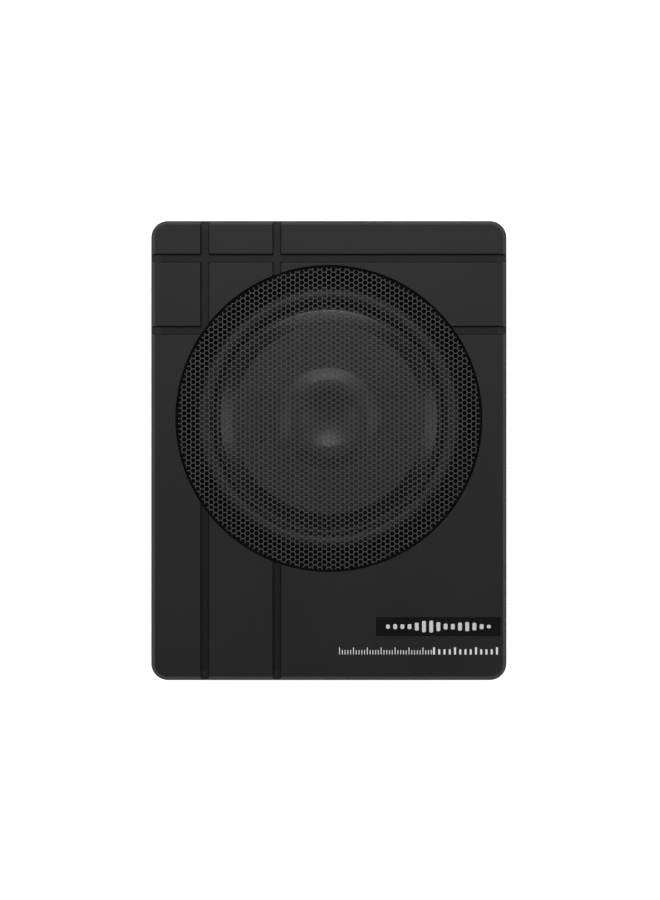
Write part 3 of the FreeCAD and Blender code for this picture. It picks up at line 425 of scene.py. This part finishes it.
def piece(name, bm, material, smooth_deg=None, body="cabinet", replaced=()):
    """A new mesh piece that rides on a body, or on none, and may stand in for CAD nodes, which it hides."""
    mesh = bpy.data.meshes.new(name)
    bm.to_mesh(mesh)
    bm.free()
    obj = bpy.data.objects.new(name, mesh)
    bpy.context.scene.collection.objects.link(obj)
    mesh.materials.append(material)
    if smooth_deg is not None:
        mesh.shade_smooth()
        mesh.set_sharp_from_angle(angle=math.radians(smooth_deg))
    if replaced:
        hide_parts(*replaced)
    if body:
        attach(obj, body)
    return obj


def add_face(bm, points):
    bm.faces.new([bm.verts.new(p) for p in points])


def weld(bm, distance=1e-6):
    bmesh.ops.remove_doubles(bm, verts=bm.verts, dist=distance)
    bmesh.ops.recalc_face_normals(bm, faces=bm.faces)


def lathe(profile, steps):
    """A closed profile of (radius, height), in metres, turned about the driver's axis."""
    bm = bmesh.new()
    rings = []
    turn = 2 * math.pi / steps
    for r, z in profile:
        rings.append([
            bm.verts.new((AXIS.x + r * math.cos(k * turn), AXIS.y + r * math.sin(k * turn), z))
            for k in range(steps)
        ])
    for a, b in zip(rings, rings[1:] + rings[:1]):
        for k in range(steps):
            n = (k + 1) % steps
            bm.faces.new((a[k], a[n], b[n], b[k]))
    bmesh.ops.recalc_face_normals(bm, faces=bm.faces)
    return bm


# ---------------------------------------------------------------- grille

PITCH = 3.92 * MM
ACROSS = 3.26 * MM
EDGE_ROUND = 0.14 * MM
CLIP_SIDES = 360
CLIP_TURN = 2 * math.pi / CLIP_SIDES
RIM_REACH = 1.1


def clip(points, normal, limit):
    """The part of a polygon where its points' share along normal is under the limit."""
    kept = []
    for a, b in zip(points, points[1:] + points[:1]):
        da, db = a.dot(normal) - limit, b.dot(normal) - limit
        if da <= 0:
            kept.append(a)
        if da * db < 0:
            kept.append(a.lerp(b, da / (da - db)))
    return kept


def nearest_side(point):
    """The number of the disc's straight side that faces a point."""
    return round(math.atan2(point.y, point.x) / CLIP_TURN)


def side_normal(k):
    return Vector((math.cos(k * CLIP_TURN), math.sin(k * CLIP_TURN), 0))


def clip_to_disc(points, radius):
    """A polygon near the rim, cut by the straight sides of the disc beside it."""
    nearest = nearest_side(sum(points, Vector()) / len(points))
    for k in range(nearest - 3, nearest + 4):
        points = clip(points, side_normal(k), radius)
        if len(points) < 3:
            return []
    return points


def on_rim(a, b, radius):
    """Both points lie on one cut side of the disc."""
    normal = side_normal(nearest_side((a + b) / 2))
    return abs(a.dot(normal) - radius) < 1e-8 and abs(b.dot(normal) - radius) < 1e-8


def add_rim_wall(bm, points, radius, low):
    """The sheet's outer wall, under each side of a face that was cut at the rim."""
    for p, q in zip(points, points[1:] + points[:1]):
        if on_rim(p, q, radius) and (p - q).length > 1e-7:
            p_low, q_low = Vector((p.x, p.y, low)), Vector((q.x, q.y, low))
            add_face(bm, [p + AXIS, q + AXIS, q_low + AXIS, p_low + AXIS])


def grille_lattice():
    """The perforated sheet: six-sided holes whose neighbours lie along Y, cut off at a round rim."""
    low, top = mesh_lo.z, mesh_hi.z
    bm = bmesh.new()
    column = PITCH * math.cos(math.pi / 6)
    reach = int(MESH_R / column) + 2
    corners = [math.radians(60 * k) for k in range(6)]
    directions = [Vector((math.cos(corner), math.sin(corner), 0)) for corner in corners]
    up, edge, down = Vector((0, 0, top)), Vector((0, 0, top - EDGE_ROUND)), Vector((0, 0, low))
    cell_r = PITCH / math.sqrt(3)
    hole_r = ACROSS / math.sqrt(3)
    flat_r = hole_r + EDGE_ROUND * 2 / math.sqrt(3)
    radius = MESH_R * math.cos(math.pi / CLIP_SIDES)
    for i in range(-reach, reach + 1):
        for j in range(-reach - 1, reach + 2):
            at = Vector((i * column, (j + 0.5 * (i % 2)) * PITCH, 0))
            far = at.length
            if far > MESH_R + cell_r:
                continue
            near_rim = far > MESH_R - cell_r * RIM_REACH
            for a, b in zip(directions, directions[1:] + directions[:1]):
                section = ((cell_r, up), (flat_r, up), (hole_r, edge), (hole_r, down), (cell_r, down))
                for rank, ((r, z), (next_r, next_z)) in enumerate(zip(section, section[1:])):
                    here, there = at + z, at + next_z
                    points = [here + a * r, here + b * r, there + b * next_r, there + a * next_r]
                    if near_rim:
                        points = clip_to_disc(points, radius)
                    if not points:
                        continue
                    add_face(bm, [p + AXIS for p in points])
                    if near_rim and rank < 2:
                        add_rim_wall(bm, points, radius, low)
    weld(bm, 2e-7)
    return bm


piece("grille_lattice", grille_lattice(), grille_paint, 20, replaced=["grille_mesh"])


# ---------------------------------------------------------------- driver

def arc(centre_r, centre_z, radius, start, stop, steps):
    """Points on an arc, angles in degrees from the outward direction."""
    for k in range(steps + 1):
        angle = math.radians(start + (stop - start) * k / steps)
        yield centre_r + radius * math.cos(angle), centre_z + radius * math.sin(angle)


def radial_blend(obj):
    """Bakes the piece's placement into its mesh."""
    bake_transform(obj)


surround_lo, surround_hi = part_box("surround")
CONE_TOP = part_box("cone")[1].z
ROLL_T = 0.8 * MM
ROLL_R = 7.5 * MM
ROLL_MID = 93.5 * MM
GLUE_R = 82.5 * MM
HALFWAY_R = 77.4 * MM
CREASE_R = 72.3 * MM
HALFWAY_DROP = 2.0 * MM
LIP_T = 0.5 * MM
LIP_ASIDE = (0.3 * MM, 0.2 * MM, 0.2 * MM)
LIP_STEPS = 10
ROLL_STEPS = 28
SEAM_Z = surround_hi.z - ROLL_R - ROLL_T
OUTER_R = (surround_hi.x - surround_lo.x) / 2


def curve_through(a, b, c, steps):
    """Points from a to c on a curve that passes b halfway."""
    for k in range(steps + 1):
        t = k / steps
        weights = ((1 - t) * (1 - 2 * t), 4 * t * (1 - t), t * (2 * t - 1))
        yield tuple(sum(w * p[axis] for w, p in zip(weights, (a, b, c))) for axis in (0, 1))


def surround_roll():
    """The half roll, its wide inner lip over the cone's shoulder, and its flat outer flange."""
    low, high = SEAM_Z, SEAM_Z + ROLL_T
    lip = surround_lo.z
    under = [(GLUE_R, lip), (HALFWAY_R, CONE_TOP - HALFWAY_DROP), (CREASE_R, CONE_TOP)]
    over = [(r + aside, z + LIP_T) for (r, z), aside in zip(under, LIP_ASIDE)]
    profile = list(curve_through(*under, LIP_STEPS))
    profile += list(curve_through(*reversed(over), LIP_STEPS))
    profile += list(arc(ROLL_MID, high, ROLL_R, 180, 0, ROLL_STEPS))
    profile += [(OUTER_R, high), (OUTER_R, low)]
    profile += list(arc(ROLL_MID, low, ROLL_R - ROLL_T, 0, 180, ROLL_STEPS))
    profile += [(ROLL_MID - ROLL_R, lip)]
    return lathe(profile, 360)


roll = piece("surround_roll", surround_roll(), roll_rubber, 40, None, ["surround"])
radial_blend(roll)

spider_lo, spider_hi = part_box("spider")
former_lo, former_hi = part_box("coil_former")
FORMER_R = (former_hi.x - former_lo.x) / 2
CLOTH_T = 0.7 * MM
CLOTH_WAVES = 5
WAVE_STEPS = 10
WAVE_RISE = 1.3 * MM
WAVES_FROM, WAVES_TO = 29 * MM, 58.5 * MM
COLLAR_H = 3.0 * MM
COLLAR_T = 0.8 * MM


def spider_damper():
    """The corrugated cloth disc between the former and the frame."""
    rim = (spider_hi.x - spider_lo.x) / 2
    seat = spider_hi.z - COLLAR_H
    collar_r = FORMER_R + COLLAR_T
    steps = CLOTH_WAVES * WAVE_STEPS
    upper = []
    for k in range(steps + 1):
        r = WAVES_FROM + (WAVES_TO - WAVES_FROM) * k / steps
        upper.append((r, seat + CLOTH_T + WAVE_RISE * math.sin(2 * math.pi * k / WAVE_STEPS)))
    lower = [(r, z - CLOTH_T) for r, z in reversed(upper)]
    collar = [
        (FORMER_R, seat), (FORMER_R, seat + COLLAR_H),
        (collar_r, seat + COLLAR_H), (collar_r, seat + CLOTH_T),
    ]
    return lathe(collar + upper + [(rim, seat + CLOTH_T), (rim, seat)] + lower, 160)


damper = piece("spider_damper", spider_damper(), spider_cloth, 40, None, ["spider"])
radial_blend(damper)


# ---------------------------------------------------------------- badge and printed marks

UP = Vector((0, 0, 1))
OUT = Vector((0, -1, 0))
ALONG_X = Vector((1, 0, 0))


def rounded_outline(length, width, radius, steps=5):
    """A rectangle with round corners, as (along, across) points."""
    radius = min(radius, length / 2, width / 2)
    for turn, sx, sy in ((0, 1, 1), (90, -1, 1), (180, -1, -1), (270, 1, -1)):
        for k in range(steps + 1):
            angle = math.radians(turn + 90 * k / steps)
            yield (
                sx * (length / 2 - radius) + radius * math.cos(angle),
                sy * (width / 2 - radius) + radius * math.sin(angle),
            )


def add_ring(bm, at, along, normal, outline, height):
    across = normal.cross(along)
    return [bm.verts.new(at + along * u + across * v + normal * height) for u, v in outline]


def bridge(bm, a, b):
    for k, p in enumerate(a):
        q = (k + 1) % len(a)
        bm.faces.new([p, a[q], b[q], b[k]])


def add_mark(bm, at, along, normal, size, radius, low, high, bevel):
    """A raised mark with round corners and a bevelled edge, that stands between two heights over a face."""
    length, width = size
    rings = []
    for inset, height in ((0, low), (0, high - bevel), (bevel, high)):
        outline = rounded_outline(length - 2 * inset, width - 2 * inset, radius - inset)
        rings.append(add_ring(bm, at, along, normal, outline, height))
    bridge(bm, rings[0], rings[1])
    bridge(bm, rings[1], rings[2])
    bm.faces.new(rings[2])
    bm.faces.new(rings[0][::-1])


def add_band(bm, at, along, normal, size, radius, line, low, high):
    """A raised line that runs round a rectangle with round corners."""
    length, width = size
    rings = []
    for inset, height in ((0, low), (0, high), (line, high), (line, low)):
        outline = rounded_outline(length - 2 * inset, width - 2 * inset, radius - inset)
        rings.append(add_ring(bm, at, along, normal, outline, height))
    for a, b in zip(rings, rings[1:] + rings[:1]):
        bridge(bm, a, b)


def finished(bm):
    bmesh.ops.recalc_face_normals(bm, faces=bm.faces)
    return bm


badge_lo, badge_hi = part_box("name_badge")
BARS_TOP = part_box("badge_bars")[1].z
BADGE = Vector(((badge_lo.x + badge_hi.x) / 2, (badge_lo.y + badge_hi.y) / 2, badge_lo.z))
BADGE_SIZE = (badge_hi.x - badge_lo.x, badge_hi.y - badge_lo.y)
BARS = 15
BAR_STEP = 5.4 * MM
BAR_W = 2.9 * MM


def badge_plate():
    bm = bmesh.new()
    add_mark(bm, BADGE, ALONG_X, UP, BADGE_SIZE, 0.8 * MM, 0, badge_hi.z - badge_lo.z, 0.15 * MM)
    return finished(bm)


def level_bars():
    """Raised bars whose heights rise and fall, as on a level meter."""
    bm = bmesh.new()
    top = BARS_TOP - badge_lo.z
    foot = badge_hi.z - badge_lo.z - 0.05 * MM
    for k in range(BARS):
        phase = math.pi * (k + 0.5) / BARS
        height = (2.4 + 7.0 * math.sin(phase) * (0.62 + 0.38 * math.cos(5 * phase))) * MM
        at = BADGE + ALONG_X * (k - (BARS - 1) / 2) * BAR_STEP
        add_mark(bm, at, ALONG_X, UP, (BAR_W, height), 0.9 * MM, foot, top, 0.08 * MM)
    return finished(bm)


piece("badge_plate", badge_plate(), badge_gloss, 30, replaced=["name_badge"])
piece("badge_level_bars", level_bars(), badge_silver, 30, replaced=["badge_bars"])

INK_UNDER = -0.02 * MM
INK_OVER = 0.03 * MM
INK_BEVEL = 0.01 * MM
SCALE_LEFT, SCALE_RIGHT = 8.0 * MM, 126.0 * MM
SCALE_Y = -150.2 * MM
FINE_TICKS = 34
BOLD_TICKS = 13
BOLD_SHARE = 0.60
TALL_TICK = 5.4 * MM


def printed_scale():
    """A printed row of scale ticks under the badge: fine ones, then a bold group."""
    bm = bmesh.new()
    bold_from = SCALE_LEFT + BOLD_SHARE * (SCALE_RIGHT - SCALE_LEFT)
    groups = (
        (FINE_TICKS, SCALE_LEFT, (bold_from - SCALE_LEFT) / FINE_TICKS, 5, 3.4 * MM, 0.62 * MM),
        (BOLD_TICKS, bold_from, (SCALE_RIGHT - bold_from) / (BOLD_TICKS - 1), 4, 3.9 * MM, 1.5 * MM),
    )
    for count, start, step, tall_every, short, width in groups:
        for k in range(count):
            tall = TALL_TICK if k % tall_every == 0 else short
            at = Vector((start + step * k, SCALE_Y + (tall - TALL_TICK) / 2, TOP))
            add_mark(bm, at, ALONG_X, UP, (width, tall), 0.3 * MM, INK_UNDER, INK_OVER, INK_BEVEL)
    return finished(bm)


piece("printed_scale", printed_scale(), print_white)


# ---------------------------------------------------------------- connector end

def middle(node):
    low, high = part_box(node)
    return (low + high) / 2


PANEL_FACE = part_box("control_panel")[0].y
KNOBS = {"level_knob": "level_control", "lowpass_knob": "lowpass_control", "bass_knob": "bass_control"}
ROW_Z = middle("level_knob").z
SWEEP_DEG = 280
KNOB_TICKS = 11
TICKS_FROM_R = 8.3 * MM
SLIDE_MIDDLE = 2.0 * MM
SLIDE_MARK_ASIDE = 6.0 * MM
BANDS = {"power_header": 1.6 * MM, "speaker_header": 1.6 * MM, "rca_sleeves": 2.6 * MM}


def on_panel(x, z):
    return Vector((x, PANEL_FACE, z))


def around_knob(angle_deg):
    """The direction from a knob's middle, with 0 straight up and the angle growing to the right."""
    angle = math.radians(angle_deg)
    return Vector((math.sin(angle), 0, math.cos(angle)))


def panel_print():
    """Tick arcs round the knobs, end marks at the switches, and thin lines round the sockets."""
    bm = bmesh.new()
    for knob in KNOBS:
        hub = middle(knob)
        at = on_panel(hub.x, hub.z)
        for k in range(KNOB_TICKS):
            outward = around_knob(SWEEP_DEG * (k / (KNOB_TICKS - 1) - 0.5))
            length = (0.9 + 1.1 * k / (KNOB_TICKS - 1)) * MM
            foot = at + outward * (TICKS_FROM_R + length / 2)
            add_mark(bm, foot, outward, OUT, (length, 0.55 * MM), 0.2 * MM, INK_UNDER, INK_OVER, INK_BEVEL)
    for slider in ("phase_slider", "auto_on_slider"):
        hub = middle(slider)
        for side, size in ((-1, (1.1 * MM, 1.1 * MM)), (1, (0.6 * MM, 2.4 * MM))):
            at = on_panel(hub.x + SLIDE_MIDDLE + side * SLIDE_MARK_ASIDE, hub.z)
            add_mark(bm, at, ALONG_X, OUT, size, 0.55 * MM, INK_UNDER, INK_OVER, INK_BEVEL)
    for node, rim in BANDS.items():
        low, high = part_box(node)
        size = (high.x - low.x + 2 * rim, 2 * (high.z - ROW_Z) + 2 * rim)
        at = on_panel(middle(node).x, ROW_Z)
        add_band(bm, at, ALONG_X, OUT, size, 1.6 * MM, 0.4 * MM, INK_UNDER, INK_OVER)
    return finished(bm)


piece("panel_print", panel_print(), print_grey)

POINTER_TOP = 0.12 * MM


def knob_pointer(knob):
    """A white inlay along a knob's raised pointer."""
    bm = bmesh.new()
    low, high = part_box(knob)
    hub = middle(knob)
    at = Vector((hub.x, low.y, (hub.z + high.z) / 2 + 0.3 * MM))
    add_mark(bm, at, UP, OUT, (3.9 * MM, 0.72 * MM), 0.3 * MM, -0.1 * MM, POINTER_TOP, 0.03 * MM)
    return finished(bm)


for knob, body in KNOBS.items():
    piece(knob.replace("_knob", "_pointer"), knob_pointer(knob), print_white, 30, body)

CONTACTS = 6
CONTACT_STEP = 1.02 * MM
CONTACT_R = 0.22 * MM


def add_tube(bm, points, radius, sides=8):
    """A round wire through points, closed at both ends."""
    rings = []
    for k, at in enumerate(points):
        ahead = points[min(k + 1, len(points) - 1)] - points[max(k - 1, 0)]
        side = ahead.cross(ALONG_X if abs(ahead.normalized().x) < 0.9 else UP).normalized()
        other = ahead.cross(side).normalized()
        ring = []
        for j in range(sides):
            angle = 2 * math.pi * j / sides
            ring.append(bm.verts.new(at + (side * math.cos(angle) + other * math.sin(angle)) * radius))
        rings.append(ring)
    for a, b in zip(rings, rings[1:]):
        bridge(bm, a, b)
    bm.faces.new(rings[0][::-1])
    bm.faces.new(rings[-1])


def jack_contacts():
    """Six spring wires that slope up into the remote socket."""
    bm = bmesh.new()
    low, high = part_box("remote_jack")
    hub = middle("remote_jack")
    for k in range(CONTACTS):
        x = hub.x + (k - (CONTACTS - 1) / 2) * CONTACT_STEP
        inner = Vector((x, low.y + 10.8 * MM, high.z - 3.2 * MM))
        bend = Vector((x, low.y + 3.4 * MM, high.z - 2.35 * MM))
        tip = Vector((x, low.y + 2.2 * MM, high.z - 2.25 * MM))
        add_tube(bm, [tip, bend, inner], CONTACT_R)
    return finished(bm)


piece("jack_contacts", jack_contacts(), brass, 50)


# ---------------------------------------------------------------- flexible leads

LEAD_R = 0.6 * MM
EYE_Y = 16.2 * MM
LUG_Y = 5.5 * MM
LEAD_BEND_Z = 57.0 * MM


def smooth_route(stops, steps=10):
    """Points on a smooth curve through stops."""
    ends = [stops[0] * 2 - stops[1], *stops, stops[-1] * 2 - stops[-2]]
    for a, b, c, d in zip(ends, ends[1:], ends[2:], ends[3:]):
        for k in range(steps):
            t = k / steps
            square = a * 2 - b * 5 + c * 4 - d
            cube = b * 3 - a - c * 3 + d
            yield 0.5 * ((b * 2) + (c - a) * t + square * t**2 + cube * t**3)
    yield stops[-1]


def lead_pair(side):
    """The two leads on one side, from the cone's eyelets down and out to the solder lugs."""
    bm = bmesh.new()
    lug_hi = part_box("terminal_lugs")[1]
    eye_lo, eye_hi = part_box("lead_eyelets")
    lug_x = side * (lug_hi.x - 2.0 * MM)
    eye_x = side * (eye_hi.x - 1.7 * MM)
    cone_under = eye_lo.z - 1.0 * MM
    for up_down in (-1, 1):
        eye_y = up_down * EYE_Y
        lug_y = up_down * LUG_Y
        stops = [
            Vector((eye_x, eye_y, cone_under)),
            Vector((eye_x, eye_y, cone_under - 3.0 * MM)),
            Vector((side * 55.8 * MM, up_down * 13.0 * MM, 55.8 * MM)),
            Vector((side * 64.6 * MM, up_down * 8.7 * MM, 54.6 * MM)),
            Vector((side * 72.2 * MM, up_down * 6.2 * MM, LEAD_BEND_Z)),
            Vector((lug_x - side * 0.4 * MM, lug_y, LEAD_BEND_Z)),
            Vector((lug_x, lug_y, lug_hi.z)),
        ]
        route = [AXIS + p for p in smooth_route(stops)]
        add_tube(bm, route, LEAD_R, 10)
    return finished(bm)


for name, side in (("leads_left", -1), ("leads_right", 1)):
    leads = piece(name, lead_pair(side), braid, 60, None, ["tinsel_leads"])
    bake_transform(leads)


# ---------------------------------------------------------------- camera, floor and light

def area_light(name, place, target, size, power):
    light = bpy.data.lights.new(name, "AREA")
    light.shape = "RECTANGLE"
    light.size, light.size_y = size
    light.energy = power
    obj = bpy.data.objects.new(name, light)
    obj.visible_camera = False
    bpy.context.scene.collection.objects.link(obj)
    obj.location = place
    obj.rotation_euler = (Vector(target) - Vector(place)).to_track_quat("-Z", "Y").to_euler()


floor_bm = bmesh.new()
bmesh.ops.create_grid(floor_bm, x_segments=8, y_segments=8, size=4.0)
floor_mesh = bpy.data.meshes.new("floor")
floor_bm.to_mesh(floor_mesh)
floor_bm.free()
floor = bpy.data.objects.new("floor", floor_mesh)
floor.location.z = LOW.z
bpy.context.scene.collection.objects.link(floor)
floor_mat, _, floor_bsdf = new_material("floor_white")
floor_bsdf.inputs["Base Color"].default_value = (0.93, 0.93, 0.93, 1)
floor_bsdf.inputs["Roughness"].default_value = 0.9
floor_bsdf.inputs["Specular IOR Level"].default_value = 0.1
floor_bsdf.inputs["Emission Color"].default_value = (1, 1, 1, 1)
floor_bsdf.inputs["Emission Strength"].default_value = 0.70
floor_mesh.materials.append(floor_mat)

# The light tent: white low down on four sides, darker in its corners and overhead.
TENT = [(0.0, 0.135), (0.68, 0.14), (0.80, 0.42), (0.94, 1.65)]
NEAR_END_SHARE = 0.90


def light_tent():
    """A world whose brightness depends on how near a direction is to one of the tent's four lit sides."""
    world = bpy.data.worlds.new("light_tent")
    world.use_nodes = True
    tree = world.node_tree
    lit = tree.nodes["Background"]
    coords = tree.nodes.new("ShaderNodeTexCoord")
    parts = tree.nodes.new("ShaderNodeSeparateXYZ")
    tree.links.new(coords.outputs["Generated"], parts.inputs["Vector"])
    x, y = parts.outputs["X"], parts.outputs["Y"]
    far_near = math_node(tree, "MAXIMUM", y, math_node(tree, "MULTIPLY", y, -NEAR_END_SHARE))
    side = math_node(tree, "MAXIMUM", math_node(tree, "ABSOLUTE", x), far_near)
    tone = ramp(tree, side, [(place, (level, level, level)) for place, level in TENT])
    tree.links.new(tone, lit.inputs["Color"])
    backdrop = tree.nodes.new("ShaderNodeBackground")
    path = tree.nodes.new("ShaderNodeLightPath")
    mix = tree.nodes.new("ShaderNodeMixShader")
    tree.links.new(path.outputs["Is Camera Ray"], mix.inputs["Fac"])
    tree.links.new(lit.outputs["Background"], mix.inputs[1])
    tree.links.new(backdrop.outputs["Background"], mix.inputs[2])
    backdrop.inputs["Color"].default_value = (1, 1, 1, 1)
    tree.links.new(mix.outputs["Shader"], tree.nodes["World Output"].inputs["Surface"])
    return world


bpy.context.scene.world = light_tent()

# Each soft box: where it stands, its width and height, and its power in watts.
SOFT_BOXES = {
    "key_far_end": ((0.0, 1.25, 2.0), (1.0, 0.9), 24.0),
    "side_left": ((-1.45, 0.0, 1.7), (0.8, 1.1), 8.0),
    "side_right": ((1.45, 0.0, 1.7), (0.8, 1.1), 8.0),
}
for name, (place, size, power) in SOFT_BOXES.items():
    area_light(name, place, (0, 0, TOP), size, power)

camera_data = bpy.data.cameras.new("camera")
camera = bpy.data.objects.new("camera", camera_data)
bpy.context.scene.collection.objects.link(camera)
bpy.context.scene.camera = camera

PICTURE_H = 900
MM_PER_PIXEL = 0.7515
DISTANCE = 1.15
OFF_CENTRE = Vector((0.85, 0.4, 0)) * MM
camera_data.sensor_fit = "VERTICAL"
camera_data.sensor_height = 36.0
OUTLINE_DROP = 3.0 * MM
view_height = PICTURE_H * MM_PER_PIXEL * MM
camera_data.lens = camera_data.sensor_height * (DISTANCE + OUTLINE_DROP) / view_height
camera.location = OFF_CENTRE + Vector((0, 0, TOP + DISTANCE))
camera.rotation_euler = (0, 0, 0)
camera_data.clip_end = 50

scene = bpy.context.scene
scene.view_settings.view_transform = "Standard"
scene.view_settings.look = "None"
scene.view_settings.exposure = 0.0
scene.view_settings.gamma = 1.0
